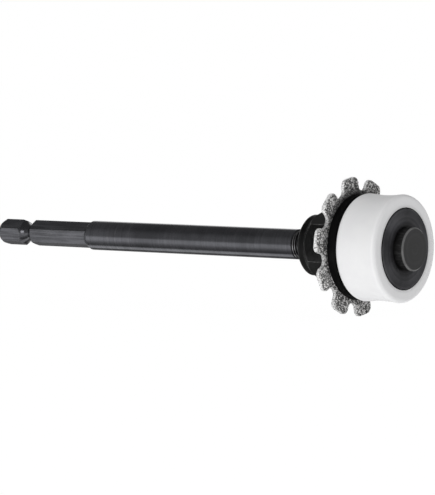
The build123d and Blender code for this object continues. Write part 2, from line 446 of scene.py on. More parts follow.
class DrawnStreaks(Effect):
    """Fine streaks that run along the tool, as drawing and sliding in a holder leave them."""

    title = "drawn_streaks"
    takes = {"Streaks Per Metre": 2200.0, "Shortness": 0.05}

    def fill(self) -> dict[str, Socket]:
        """Build the streaks from a noise that is pulled out along the axis.

        Returns:
            The streaks, about 0 to 1.
        """
        parts = self.parts(self.spot())
        along = self.product(parts["X"], self.entry["Shortness"])
        pulled = self.vector(X=along, Y=parts["Y"], Z=parts["Z"])
        return {"Streaks": self.noise(pulled, self.entry["Streaks Per Metre"])}


@dataclass(frozen=True)
class Effects:
    """The shared effects, each built once."""

    turning: TurningMarks = field(default_factory=TurningMarks)
    wear: EdgeWear = field(default_factory=EdgeWear)
    crevice_shade: CreviceShade = field(default_factory=CreviceShade)
    mottle: Mottle = field(default_factory=Mottle)
    band: AxisBand = field(default_factory=AxisBand)
    ring: RadiusBand = field(default_factory=RadiusBand)
    ends: EndFacing = field(default_factory=EndFacing)
    streaks: DrawnStreaks = field(default_factory=DrawnStreaks)


class FinishTree(NodeTree):
    """A new material's node tree, with the shared effects at hand."""

    def __init__(self, title: str, effects: Effects) -> None:
        """Start the material.

        Args:
            title: The material's name.
            effects: The shared effects.
        """
        self.material = bpy.data.materials.new(title)
        self.material.use_nodes = True
        self.effects = effects
        super().__init__(self.material.node_tree)

    def along(self, band: Band) -> Socket:
        """Mask a band of the tool's length."""
        return self.effects.band.place(self, Middle=band.middle, Half_Width=band.half, Fade=band.fade)["Mask"]

    def around(self, band: Band) -> Socket:
        """Mask a band of distances from the tool's axis."""
        return self.effects.ring.place(self, Middle=band.middle, Half_Width=band.half, Fade=band.fade)["Mask"]

    def facing(self) -> Socket:
        """Mask the faces square to the tool's axis."""
        return self.effects.ends.place(self)["Mask"]

    def close(self, **sockets: object) -> bpy.types.Material:
        """End the material with its surface shader.

        Args:
            **sockets: Values or sockets for the Principled BSDF, with _ for a space.

        Returns:
            The material.
        """
        named = {name.replace("_", " "): value for name, value in sockets.items()}
        shader = self.add("ShaderNodeBsdfPrincipled", named)
        self.add("ShaderNodeOutputMaterial", {"Surface": shader.outputs[0]})
        return self.material


@dataclass(frozen=True)
class TurnedSteel:
    """Turned steel, from black oxide to bright bearing steel."""

    title: str
    body: Colour
    rubbed: Colour
    roughness: float
    metallic: float = 0.0
    rubbed_shine: float = 0.0
    ior: float = 1.5
    smoother: float = 0.03
    rougher: float = 0.05
    patch_ends: Range = (0.3, 0.7)
    mark_ends: Range = (0.15, 0.4)
    rings_per_metre: float = 3500.0
    ring_depth: float = 0.000003
    shade_change: float = 0.3
    wear_width: float = 0.1 * MM
    wear_reach: float = 0.5
    side_unshaded_share: float = 1.0
    # The colour of painted shade: corners and gaps darken toward it by ambient occlusion, and the turned
    # sides do too by their share.
    painted_shade: Colour = grey(0.002)
    painted_shade_reach: float = 1.0 * MM
    painted_shade_closed_below: float = 0.45
    painted_shade_amount: float = 0.5

    def scuffs(self, nodes: FinishTree) -> object:
        """Give the mask of scuffs that lie off the edges: none on a plain turned piece."""
        return 0.0

    def shade(self, nodes: FinishTree, marks: bpy.types.NodeOutputs) -> Socket:
        """Give the shade that the turning marks leave, from 0 at the darkest to 1."""
        return nodes.spread(nodes.product(marks["Rings"], marks["Patches"]), self.mark_ends)

    def roughness_map(self, nodes: FinishTree, patches: Socket) -> Socket:
        """Give the roughness, a little different from patch to patch."""
        results = (self.roughness - self.smoother, self.roughness + self.rougher)
        return nodes.spread(patches, self.patch_ends, results)

    def toned(self, change: float) -> Colour:
        """Give the body's colour, lighter or darker by a share of itself."""
        return tuple(min(1.0, part * (1 + change)) for part in self.body[:3]) + (1.0,)

    def make(self, effects: Effects) -> bpy.types.Material:
        """Build the material.

        Args:
            effects: The shared effects.

        Returns:
            The material.
        """
        nodes = FinishTree(self.title, effects)
        marks = effects.turning.place(nodes, Rings_Per_Metre=self.rings_per_metre)
        edges = effects.wear.place(nodes, Width=self.wear_width, Reach=self.wear_reach)["Mask"]
        wear_and_highlight = nodes.math("ADD", edges, self.scuffs(nodes), clamp=True)
        # Painted shade: corners and gaps are darkened where ambient occlusion finds them shut in.
        shaded_corners = effects.crevice_shade.place(
            nodes, Reach=self.painted_shade_reach, Closed_Below=self.painted_shade_closed_below, Amount=self.painted_shade_amount
        )["Mask"]
        shade = self.shade(nodes, marks)
        fresh = nodes.blend(shade, self.toned(-self.shade_change), self.toned(self.shade_change))
        # Painted shade: sides that don't face along the axis darken toward the shade colour, all but their
        # share.
        side = nodes.spread(nodes.facing(), FULL, (1.0 - self.side_unshaded_share, 0.0))
        before_crevice_shade = nodes.blend(wear_and_highlight, nodes.blend(side, fresh, self.painted_shade), self.rubbed)
        shine = self.metallic
        if self.rubbed_shine:
            shine = nodes.math("MULTIPLY_ADD", wear_and_highlight, self.rubbed_shine, self.metallic, clamp=True)
        return nodes.close(
            Base_Color=nodes.blend(shaded_corners, before_crevice_shade, self.painted_shade),
            Metallic=shine,
            Roughness=self.roughness_map(nodes, marks["Patches"]),
            IOR=self.ior,
            Normal=nodes.relief(marks["Rings"], self.ring_depth),
        )


@dataclass(frozen=True)
class HandledBlackSteel(TurnedSteel):
    """The arbor's black oxide, with speckled scuffs where chucks have held the shank."""

    shank: Band = Band(14.0 * MM, 18.0 * MM, 1.5 * MM)
    shank_amount: float = 0.16
    shank_dullness: float = 0.2
    by_groove: Band = Band(9.0 * MM, 3.6 * MM, 1.2 * MM)
    by_groove_amount: float = 0.04
    clouds_per_metre: float = 500.0
    cloud_ends: Range = (0.4, 0.62)
    cloud_shares: Range = (0.3, 1.0)
    speckles_per_metre: float = 3600.0
    speckle_ends: Range = (0.46, 0.68)
    streaks_per_metre: float = 1900.0
    streak_ends: Range = (0.36, 0.64)
    collar: Band = Band(42.0 * MM, 10.0 * MM, 6.0 * MM)
    collar_amount: float = 0.3
    scores_per_metre: float = 1100.0
    score_ends: Range = (0.5, 0.72)
    score_patches_per_metre: float = 260.0
    score_patch_ends: Range = (0.42, 0.6)
    groove: Band = Band(9.5 * MM, 2.6 * MM, 0.2 * MM)
    groove_depth: Band = Band(2.6 * MM, 0.6 * MM, 0.1 * MM)
    groove_smoothness: float = 0.75

    def in_groove(self, nodes: FinishTree) -> Socket:
        """Mask the ball groove between the drawn flats, which is turned smooth and darkened with painted
        shade.
        """
        return nodes.product(nodes.along(self.groove), nodes.around(self.groove_depth))

    def shade(self, nodes: FinishTree, marks: bpy.types.NodeOutputs) -> Socket:
        """Give the shade: turning marks on the bar, drawn streaks on the shank, and painted shade in the
        groove.

        Args:
            nodes: The material's tree.
            marks: The turning marks.

        Returns:
            The shade, from 0 at the darkest to 1 at the lightest.
        """
        turned = super().shade(nodes, marks)
        streaks = nodes.effects.streaks.place(nodes, Streaks_Per_Metre=self.streaks_per_metre)["Streaks"]
        change = nodes.math("SUBTRACT", nodes.spread(streaks, self.streak_ends), turned)
        handled = nodes.math("MULTIPLY_ADD", nodes.along(self.shank), change, turned)
        # Painted shade: the groove is pushed toward the darkest tone.
        return nodes.math("SUBTRACT", handled, self.in_groove(nodes), clamp=True)

    def roughness_map(self, nodes: FinishTree, patches: Socket) -> Socket:
        """Give the roughness: duller on the handled shank than on the bar and in the groove.

        Args:
            nodes: The material's tree.
            patches: The patches' noise.

        Returns:
            The roughness.
        """
        smooth = nodes.product(self.in_groove(nodes), self.groove_smoothness)
        dull = nodes.math("SUBTRACT", nodes.along(self.shank), smooth, clamp=True)
        plain = super().roughness_map(nodes, patches)
        return nodes.math("ADD", plain, nodes.product(dull, self.shank_dullness))

    def speckle(self, nodes: FinishTree) -> Socket:
        """Speckle the shank, most of all round the groove.

        Args:
            nodes: The material's tree.

        Returns:
            The mask of the speckles.
        """
        spots = nodes.effects.mottle.place(
            nodes, Clouds_Per_Metre=self.clouds_per_metre, Grains_Per_Metre=self.speckles_per_metre
        )
        clouds = nodes.spread(spots["Clouds"], self.cloud_ends, self.cloud_shares)
        speckle = nodes.product(nodes.spread(spots["Grains"], self.speckle_ends), clouds)
        on_shank = nodes.product(nodes.along(self.shank), self.shank_amount)
        round_groove = nodes.product(nodes.along(self.by_groove), self.by_groove_amount)
        return nodes.product(speckle, nodes.math("ADD", on_shank, round_groove))

    def scores(self, nodes: FinishTree) -> Socket:
        """Score the bar where a collar has turned.

        Args:
            nodes: The material's tree.

        Returns:
            The mask of the scores.
        """
        turned = nodes.effects.turning.place(
            nodes, Rings_Per_Metre=self.scores_per_metre, Patches_Per_Metre=self.score_patches_per_metre
        )
        rings = nodes.spread(turned["Rings"], self.score_ends)
        patches = nodes.spread(turned["Patches"], self.score_patch_ends)
        return nodes.product(rings, patches, nodes.along(self.collar), self.collar_amount)

    def scuffs(self, nodes: FinishTree) -> object:
        """Give the mask of the speckles and the scores."""
        return nodes.math("ADD", self.speckle(nodes), self.scores(nodes))


@dataclass(frozen=True)
class ThreadSteel(TurnedSteel):
    """The thread's black oxide, rubbed bright by the bar's end, with painted shade in its roots and by the
    nut.
    """

    bright: Band = Band(101.8 * MM, 2.0 * MM, 1.1 * MM)
    bright_amount: float = 0.45

    def scuffs(self, nodes: FinishTree) -> object:
        """Rub the first turns, those that nuts and washers pass over most."""
        return nodes.product(nodes.along(self.bright), self.bright_amount)


@dataclass(frozen=True)
class CapSteel(TurnedSteel):
    """The cap's black oxide, with a painted highlight ring on the face's rounded edge."""

    ring: Band = Band(5.48 * MM, 0.27 * MM, 0.14 * MM)
    ring_highlight_shares: Range = (0.54, 0.9)
    ring_highlight_patches_per_metre: float = 380.0
    ring_highlight_patch_ends: Range = (0.35, 0.65)
    scratches_per_metre: float = 2200.0
    scratch_shortness: float = 0.2
    scratch_ends: Range = (0.48, 0.66)
    scratch_amount: float = 0.17

    def scuffs(self, nodes: FinishTree) -> object:
        """Paint a highlight ring on the face's edge, and scratch the cap's side along its length.

        Args:
            nodes: The material's tree.

        Returns:
            The mask of the painted highlight ring and the scratches.
        """
        facing = nodes.facing()
        patches = nodes.effects.mottle.place(nodes, Clouds_Per_Metre=self.ring_highlight_patches_per_metre)["Clouds"]
        amount = nodes.spread(patches, self.ring_highlight_patch_ends, self.ring_highlight_shares)
        # Painted highlight: the ring on the face's rounded edge is lightened toward the rubbed grey.
        rubbed = nodes.product(nodes.around(self.ring), facing, amount)
        streaks = nodes.effects.streaks.place(
            nodes, Streaks_Per_Metre=self.scratches_per_metre, Shortness=self.scratch_shortness
        )["Streaks"]
        scratches = nodes.spread(streaks, self.scratch_ends, (0.0, self.scratch_amount))
        return nodes.math("MULTIPLY_ADD", scratches, nodes.math("SUBTRACT", 1.0, facing), rubbed)


@dataclass(frozen=True)
class BrazedGrit:
    """Diamond grains in dark braze, told apart by what the crust's mesh keeps of each grain.

    The rim is rubbed pale, while the faces keep dark braze between bright grains.
    """

    title: str = "brazed_diamond_grit"
    face_braze: Colour = grey(0.01)
    face_dull: Colour = (0.06, 0.059, 0.058, 1.0)
    face_bright: Colour = (0.97, 0.96, 0.95, 1.0)
    face_ends: Range = (0.42, 0.61)
    rim_braze: Colour = (0.21, 0.208, 0.205, 1.0)
    rim_dull: Colour = (0.68, 0.675, 0.67, 1.0)
    rim_bright: Colour = grey(1.0)
    rim_ends: Range = (0.2, 0.6)
    # The colour of the painted shade on the grit.
    painted_grit_shade: Colour = grey(0.012)
    facets_per_metre: float = 4300.0
    tone_share: float = 0.5
    height_ends: Range = (0.05, 0.45)
    metallic: float = 0.1
    roughness: Range = (0.25, 0.6)
    ior: float = 1.7
    clouds_per_metre: float = 500.0
    dust_per_metre: float = 7000.0
    dust_depth: float = 0.06 * MM

    def make(self, effects: Effects) -> bpy.types.Material:
        """Build the material.

        Args:
            effects: The shared effects.

        Returns:
            The material.
        """
        nodes = FinishTree(self.title, effects)
        tone, height, rim, painted_grit_shade = (
            nodes.add("ShaderNodeAttribute", attribute_name=layer).outputs["Fac"]
            for layer in (GritCrust.TONE, GritCrust.HEIGHT, GritCrust.RIM, GritCrust.SHADE_LAYER)
        )
        facets = nodes.add("ShaderNodeTexVoronoi", {"Vector": nodes.spot(), "Scale": self.facets_per_metre})
        facet = nodes.add("ShaderNodeSeparateColor", {"Color": facets.outputs["Color"]}).outputs
        by_facet = nodes.product(facet["Red"], 1.0 - self.tone_share)
        mixed = nodes.math("ADD", nodes.product(tone, self.tone_share), by_facet)
        on_face = nodes.blend(nodes.spread(mixed, self.face_ends), self.face_dull, self.face_bright)
        on_rim = nodes.blend(nodes.spread(mixed, self.rim_ends), self.rim_dull, self.rim_bright)
        grain = nodes.blend(rim, on_face, on_rim)
        braze = nodes.blend(rim, self.face_braze, self.rim_braze)
        crust = nodes.blend(nodes.spread(height, self.height_ends), braze, grain)
        dust = effects.mottle.place(
            nodes, Clouds_Per_Metre=self.clouds_per_metre, Grains_Per_Metre=self.dust_per_metre
        )["Grains"]
        return nodes.close(
            # Painted shade: the crust darkens toward the shade colour by its share at each point.
            Base_Color=nodes.blend(painted_grit_shade, crust, self.painted_grit_shade),
            Metallic=self.metallic,
            Roughness=nodes.spread(facet["Green"], FULL, self.roughness),
            IOR=self.ior,
            Normal=nodes.relief(dust, self.dust_depth),
        )


@dataclass(frozen=True)
class MouldedPlastic:
    """Nylon or rubber with soft clouds of shade, a fine moulded grain and painted shade in its gaps."""

    title: str
    body: Colour
    cloud: Colour
    roughness: float
    grain_depth: float
    glow: float = 0.0
    glow_depth: float = 1.2 * MM
    smoother: float = 0.04
    rougher: float = 0.05
    cloud_ends: Range = (0.35, 0.65)
    rough_ends: Range = (0.3, 0.7)
    ior: float = 1.42
    # Painted shade: gaps darken toward this colour by ambient occlusion.
    gap: Colour = grey(0.01)
    gap_shade_reach: float = 0.5 * MM

    def painted_face_shade(self, nodes: FinishTree, before_crevice_shade: Socket) -> Socket:
        """Give the colour with painted shade on its faces: unchanged on a plain piece."""
        return before_crevice_shade

    def make(self, effects: Effects) -> bpy.types.Material:
        """Build the material.

        Args:
            effects: The shared effects.

        Returns:
            The material.
        """
        nodes = FinishTree(self.title, effects)
        mottle = effects.mottle.place(nodes)
        results = (self.roughness - self.smoother, self.roughness + self.rougher)
        before_crevice_shade = nodes.blend(nodes.spread(mottle["Clouds"], self.cloud_ends), self.body, self.cloud)
        # Painted shade in the gaps, by ambient occlusion.
        shut = effects.crevice_shade.place(nodes, Reach=self.gap_shade_reach)["Mask"]
        return nodes.close(
            Base_Color=nodes.blend(shut, self.painted_face_shade(nodes, before_crevice_shade), self.gap),
            IOR=self.ior,
            Roughness=nodes.spread(mottle["Clouds"], self.rough_ends, results),
            Subsurface_Weight=self.glow,
            Subsurface_Radius=(1.0, 1.0, 1.0),
            Subsurface_Scale=self.glow_depth,
            Normal=nodes.relief(mottle["Grains"], self.grain_depth),
        )


@dataclass(frozen=True)
class RollerNylon(MouldedPlastic):
    """The roller's white nylon, with painted shade: greyer faces, and darker still round the mouth."""

    # Painted shade: the faces are drawn greyer than the turned side.
    face: Colour = (0.77, 0.77, 0.778, 1.0)
    mouth_shade: Colour = (0.42, 0.42, 0.425, 1.0)
    mouth: Band = Band(10.7 * MM, 0.95 * MM, 0.9 * MM)
    mouth_shade_amount: float = 0.4

    def painted_face_shade(self, nodes: FinishTree, before_crevice_shade: Socket) -> Socket:
        """Paint shade on the faces: grey them, and darker still round the mouth.

        Args:
            nodes: The material's tree.
            before_crevice_shade: The colour before any painted shade.

        Returns:
            The colour with its painted shade.
        """
        facing = nodes.facing()
        # Painted shade: greyer faces, darker still round the mouth.
        amount = nodes.product(nodes.around(self.mouth), facing, self.mouth_shade_amount)
        return nodes.blend(amount, nodes.blend(facing, before_crevice_shade, self.face), self.mouth_shade)


NUT_OXIDE = TurnedSteel(
    title="matte_black_oxide",
    body=grey(0.0095),
    rubbed=grey(0.62),
    rubbed_shine=0.9,
    ior=1.24,
    roughness=0.45,
    rings_per_metre=3200.0,
    shade_change=0.9,
    wear_width=0.24 * MM,
    wear_reach=0.9,
)
# The flange's near black is painted shade: it lies in the shadow between the wheel and the roller, and is
# drawn far darker than its black oxide.
SHADED_FLANGE_BLACK = TurnedSteel(
    title="flange_painted_shade_black",
    body=grey(0.003),
    rubbed=grey(0.02),
    ior=1.2,
    roughness=0.5,
    rings_per_metre=3200.0,
    shade_change=0.4,
    wear_reach=0.3,
)
POLISHED_OXIDE = HandledBlackSteel(
    title="polished_black_oxide",
    body=(0.144, 0.1455, 0.159, 1.0),
    rubbed=(0.42, 0.42, 0.43, 1.0),
    metallic=0.93,
    roughness=0.15,
    rings_per_metre=3800.0,
    ring_depth=0.000002,
    shade_change=0.25,
    wear_width=0.2 * MM,
    wear_reach=0.25,
    painted_shade=grey(0.012),
    painted_shade_reach=3.2 * MM,
    painted_shade_closed_below=0.68,
    painted_shade_amount=1.0,
)
THREAD_OXIDE = ThreadSteel(
    title="thread_black_oxide",
    body=(0.08, 0.08, 0.085, 1.0),
    rubbed=(0.85, 0.85, 0.86, 1.0),
    metallic=0.95,
    roughness=0.18,
    rings_per_metre=3800.0,
    ring_depth=0.000002,
    wear_reach=0.4,
    painted_shade=grey(0.008),
    painted_shade_reach=0.6 * MM,
    painted_shade_amount=0.9,
)
FACED_OXIDE = TurnedSteel(
    title="faced_black_oxide",
    body=(0.054, 0.054, 0.059, 1.0),
    rubbed=(0.12, 0.12, 0.125, 1.0),
    ior=1.35,
    roughness=0.36,
    rings_per_metre=1000.0,
    ring_depth=0.00001,
    shade_change=0.5,
    wear_width=0.15 * MM,
    wear_reach=0.1,
    # Painted shade: the disc's rim and sides are drawn almost all in the shade colour.
    side_unshaded_share=0.05,
    painted_shade_reach=2.6 * MM,
    painted_shade_amount=1.0,
)
CAP_OXIDE = CapSteel(
    title="cap_black_oxide",
    body=(0.044, 0.044, 0.0445, 1.0),
    # The rubbed grey also paints the highlight ring on the face's rounded edge.
    rubbed=grey(0.17),
    ior=1.35,
    roughness=0.36,
    rings_per_metre=1400.0,
    ring_depth=0.000004,
    shade_change=0.1,
    wear_width=0.15 * MM,
    wear_reach=0.2,
    # Painted shade: the cap's side is drawn three quarters of the way to the shade colour.
    side_unshaded_share=0.25,
    painted_shade_reach=2.6 * MM,
    painted_shade_amount=1.0,
)
BARE_STEEL = TurnedSteel(
    title="bare_wheel_steel",
    body=(0.34, 0.34, 0.35, 1.0),
    rubbed=(0.6, 0.6, 0.61, 1.0),
    metallic=1.0,
    roughness=0.38,
    ring_depth=0.000004,
    shade_change=0.2,
    wear_reach=0.6,
)
BEARING_STEEL = TurnedSteel(
    title="ground_bearing_steel",
    body=(0.58, 0.58, 0.6, 1.0),
    rubbed=(0.72, 0.72, 0.73, 1.0),
    metallic=1.0,
    roughness=0.16,
    rings_per_metre=6000.0,
    ring_depth=0.000001,
    shade_change=0.08,
    painted_shade_amount=0.2,
)
CAGE_STEEL = TurnedSteel(
    title="pressed_cage_steel",
    body=(0.45, 0.45, 0.47, 1.0),
    rubbed=(0.6, 0.6, 0.61, 1.0),
    metallic=1.0,
    roughness=0.33,
    rings_per_metre=1500.0,
    ring_depth=0.000002,
    shade_change=0.12,
    painted_shade_amount=0.2,
)
WHITE_NYLON = RollerNylon(
    title="white_nylon",
    body=(0.825, 0.825, 0.83, 1.0),
    cloud=(0.8, 0.8, 0.808, 1.0),
    roughness=0.55,
    glow=0.25,
    grain_depth=0.000006,
)
LOCKING_NYLON = MouldedPlastic(
    title="locking_nylon",
    body=(0.05, 0.05, 0.055, 1.0),
    cloud=(0.035, 0.035, 0.04, 1.0),
    roughness=0.5,
    grain_depth=0.000006,
)
SEAL_RUBBER = MouldedPlastic(
    title="seal_rubber",
    body=(0.02, 0.02, 0.021, 1.0),
    cloud=(0.028, 0.028, 0.029, 1.0),
    roughness=0.62,
    grain_depth=0.00001,
)

Finish = TurnedSteel | BrazedGrit | MouldedPlastic


class Workshop:
    """Makes each material once and hands it to the pieces that wear it."""

    def __init__(self) -> None:
        """Build the shared effects."""
        self.effects = Effects()
        self.made: dict[str, bpy.types.Material] = {}

    def material(self, finish: Finish) -> bpy.types.Material:
        """Give a finish's material, made the first time it is asked for.

        Args:
            finish: The finish.

        Returns:
            Its material.
        """
        if finish.title not in self.made:
            self.made[finish.title] = finish.make(self.effects)
        return self.made[finish.title]

    def dress(self, finish: Finish, *names: str) -> None:
        """Dress CAD nodes in a finish.

        Args:
            finish: The finish.
            *names: The nodes' names.
        """
        for name in names:
            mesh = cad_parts[name].data
            mesh.materials.clear()
            mesh.materials.append(self.material(finish))
            LOG.info("node %s wears %s", name, finish.title)


def put(name: str, data: bpy.types.ID) -> bpy.types.Object:
    """Put a mesh, lamp or camera into the scene.

    Args:
        name: The object's name.
        data: The mesh, lamp or camera.

    Returns:
        The new object.
    """
    made = bpy.data.objects.new(name, data)
    bpy.context.scene.collection.objects.link(made)
    return made


def new_piece(name: str, mesh: bpy.types.Mesh, body: Body) -> bpy.types.Object:
    """Put a finished mesh into the scene as a piece of the tool.

    Args:
        name: The piece's name.
        mesh: Its mesh, in the frame's metres.
        body: The body that it rides on.

    Returns:
        The new object.
    """
    piece = put(name, mesh)
    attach(piece, body.value)
    LOG.info("piece %s has %d faces", name, len(mesh.polygons))
    return piece


@dataclass
class Arbor:
    """The bar: hex shank, round body and threaded spindle, with the thread that stands open."""

    thread_start_x: float = 101.65 * MM
    thread_end_x: float = 107.3 * MM
    pitch: float = 0.75 * MM
    root_radius: float = 3.32 * MM
    crest_radius: float = 3.92 * MM
    crest_width: float = 0.17 * MM
    root_width: float = 0.68 * MM
    foot_depth: float = 0.1 * MM
    run_in_turns: float = 0.6
    run_out_turns: float = 0.2
    steps_per_turn: int = 96

    def ridge_share(self, turned: float, turns: float) -> float:
        """Give the ridge's height at a place along the helix.

        Args:
            turned: How many turns from the start.
            turns: How many turns the whole helix has.

        Returns:
            The height as a share of the full one.
        """
        return share(min(turned / self.run_in_turns, (turns - turned) / self.run_out_turns))

    def ridge_section(self, middle: float, height: float) -> list[tuple[float, float]]:
        """Draw the ridge's section.

        Args:
            middle: Where its middle stands along the axis.
            height: Its height as a share of the full one.

        Returns:
            Its corners, each as a place along the axis and a radius.
        """
        crest = self.root_radius + height * (self.crest_radius - self.root_radius)
        foot = self.root_radius - self.foot_depth
        half_root, half_crest = self.root_width / 2, self.crest_width / 2
        rear = [(-half_root, foot), (-half_root, self.root_radius), (-half_crest, crest)]
        front = [(-x, radius) for x, radius in reversed(rear)]
        return [(middle + x, radius) for x, radius in rear + front]

    def build_thread(self, shop: Workshop) -> bpy.types.Object:
        """Sweep the thread's ridge round the spindle.

        Args:
            shop: Where the finish comes from.

        Returns:
            The thread.
        """
        turns = (self.thread_end_x - self.thread_start_x - self.root_width) / self.pitch
        steps = round(turns * self.steps_per_turn)
        points, faces = [], []
        for step in range(steps + 1):
            turned = step / self.steps_per_turn
            middle = self.thread_start_x + self.root_width / 2 + turned * self.pitch
            angle = 2 * math.pi * turned
            section = self.ridge_section(middle, self.ridge_share(turned, turns))
            points += [(x, radius * math.cos(angle), radius * math.sin(angle)) for x, radius in section]
        corners = len(section)
        for step in range(steps):
            here, ahead = step * corners, (step + 1) * corners
            for corner in range(corners):
                beside = (corner + 1) % corners
                faces.append((here + corner, here + beside, ahead + beside, ahead + corner))
        faces.append(tuple(reversed(range(corners))))
        faces.append(tuple(range(steps * corners, (steps + 1) * corners)))
        mesh = bpy.data.meshes.new("spindle_thread")
        mesh.from_pydata(points, [], faces)
        mesh.validate()
        mesh.materials.append(shop.material(THREAD_OXIDE))
        return new_piece("spindle_thread", mesh, Body.ARBOR)

    def build(self, shop: Workshop) -> None:
        """Dress the bar and cut its thread."""
        shop.dress(POLISHED_OXIDE, "arbor")
        self.build_thread(shop)


@dataclass
class ClampStack:
    """What clamps the wheel: the nut with its locking insert, the washer and the flange."""

    def build(self, shop: Workshop) -> None:
        """Dress the stack.

        Args:
            shop: Where the finishes come from.
        """
        shop.dress(NUT_OXIDE, "clamp_nut", "rear_washer")
        shop.dress(SHADED_FLANGE_BLACK, "front_flange")
        shop.dress(LOCKING_NYLON, "locking_insert")


@dataclass
class GritCrust:
    """The crust of diamond grains on the cutting wheel. Its sizes are in millimetres."""

    TONE = "grain_tone"
    HEIGHT = "grain_height"
    RIM = "rim_share"
    # The share of painted shade at each point.
    SHADE_LAYER = "grit_shade_share"

    mesh_step: float = 0.135
    grain_size: float = 0.42
    grain_depth: float = 0.15
    grain_shoulder: float = 0.3
    lowest_grain: float = 0.5
    tone_seed: float = 7.3
    height_seed: float = 3.1
    rim_slope: float = 1.4
    rim_smoothness: float = 0.5
    wave_size: float = 2.4
    wave_depth: float = 0.12
    core_gap: float = 0.1
    core_fade: float = 0.12
    flange_radius: float = 13.85
    flange_fade: float = 0.4
    # Painted shade on the grit: darker by the flange, more so higher up, low down and at the rim's rear.
    flange_shade_reach: float = 2.6
    unshaded_below: float = -8.0
    shaded_above: float = 9.0
    near_flange_shade: float = 0.38
    high_shade: float = 0.56
    most_shade: float = 0.85
    low_shade: float = 0.07
    low_shade_reach: float = 6.0
    edge_width: float = 0.4
    rear_edge_shade: float = 0.8

    def fine_mesh(self) -> bpy.types.Mesh:
        """Copy the grit's solid into an even, fine mesh, in millimetres.

        Returns:
            The fine mesh.
        """
        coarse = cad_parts["grit_teeth"].data.copy()
        coarse.transform(Matrix.Scale(1 / MM, 4))
        worker = put("crust_worker", coarse)
        remesh = worker.modifiers.new("even_mesh", "REMESH")
        remesh.mode = "VOXEL"
        remesh.voxel_size = self.mesh_step
        bpy.context.view_layer.update()
        fine = bpy.data.meshes.new_from_object(worker.evaluated_get(bpy.context.evaluated_depsgraph_get()))
        bpy.data.objects.remove(worker)
        bpy.data.meshes.remove(coarse)
        return fine

    def core_surface(self) -> BVHTree:
        """Take the steel core's surface, for finding what lies next to it.

        Returns:
            The surface, in millimetres.
        """
        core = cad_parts["wheel_core"].data
        corners = [spot.co / MM for spot in core.vertices]
        return BVHTree.FromPolygons(corners, [tuple(face.vertices) for face in core.polygons])

    def beyond_flange(self, place: Vector, reach: float) -> float:
        """Tell how far a place lies outside the flange, as a share of a reach."""
        return share((math.hypot(place.y, place.z) - self.flange_radius) / reach)

    def freedom(self, place: Vector, core: BVHTree) -> float:
        """Tell how far the crust's surface may move at a place.

        Args:
            place: The place on the surface.
            core: The steel core's surface.

        Returns:
            0 against the core and the flange, and 1 in the open.
        """
        gap = core.find_nearest(place)[3]
        return share((gap - self.core_gap) / self.core_fade) * self.beyond_flange(place, self.flange_fade)

    def grain(self, place: Vector) -> tuple[float, float]:
        """Find the grain at a place.

        Args:
            place: The place on the surface.

        Returns:
            The grain's own tone and how high it stands here, each from 0 to 1.
        """
        distances, centres = noise.voronoi(place / self.grain_size)
        plateau = min(1.0, (distances[1] - distances[0]) / self.grain_shoulder)
        rise = (1 - self.lowest_grain) * lifted(noise.cell(centres[0] * self.height_seed))
        return lifted(noise.cell(centres[0] * self.tone_seed)), plateau * (self.lowest_grain + rise)

    def painted_grit_shade(self, place: Vector, rim: float, rear_x: float) -> float:
        """Tell how much painted shade the crust takes: by the flange, more so higher up, low down and at the
        rim's rear.

        Args:
            place: The place on the surface.
            rim: How much the surface there is the rim's, from 0 to 1.
            rear_x: Where the crust's rear face lies.

        Returns:
            The painted shade, from 0 to 1.
        """
        near = 1.0 - self.beyond_flange(place, self.flange_shade_reach)
        rise = share((place.z - self.unshaded_below) / (self.shaded_above - self.unshaded_below))
        fall = share((self.unshaded_below - place.z) / self.low_shade_reach)
        edge = 1.0 - share((place.x - rear_x) / self.edge_width)
        by_flange = (self.near_flange_shade + self.high_shade * rise) * near
        return min(self.most_shade, by_flange + self.low_shade * fall + self.rear_edge_shade * edge * rim)

    def build(self, shop: Workshop) -> bpy.types.Object:
        """Carve the grains into the crust's outer surface.

        Args:
            shop: Where the finish comes from.

        Returns:
            The crust, which stands for the CAD grit.
        """
        crust = self.fine_mesh()
        core = self.core_surface()
        places = [vertex.co.copy() for vertex in crust.vertices]
        normals = [vertex.normal.copy() for vertex in crust.vertices]
        rear_x = min(place.x for place in places)
        layers = {self.TONE: [], self.HEIGHT: [], self.RIM: [], self.SHADE_LAYER: []}
        for vertex, place, normal in zip(crust.vertices, places, normals):
            tone, height = self.grain(place)
            rim = 1.0 - min(1.0, self.rim_slope * abs(normal.x))
            carved = self.grain_depth * (1 - height) * (1 - self.rim_smoothness * rim)
            waved = self.wave_depth * lifted(noise.noise(place / self.wave_size))
            vertex.co = place - normal * (carved + waved) * self.freedom(place, core)
            for layer, value in zip(layers.values(), (tone, height, rim, self.painted_grit_shade(place, rim, rear_x))):
                layer.append(value)
        for name, values in layers.items():
            crust.attributes.new(name, "FLOAT", "POINT").data.foreach_set("value", values)
        crust.transform(Matrix.Scale(MM, 4))
        crust.name = "grit_crust"
        crust.materials.clear()
        crust.materials.append(shop.material(BrazedGrit()))
        crust.shade_flat()
        piece = new_piece("grit_crust", crust, Body.ARBOR)
        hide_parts("grit_teeth")
        return piece


@dataclass
class CuttingWheel:
    """The cutting wheel: a steel core under a crust of diamond grit."""

    crust: GritCrust = field(default_factory=GritCrust)

    def build(self, shop: Workshop) -> None:
        """Dress the core and build the crust.

        Args:
            shop: Where the finishes come from.
        """
        shop.dress(BARE_STEEL, "wheel_core")
        shop.dress(BrazedGrit(), "grit_teeth")
        self.crust.build(shop)


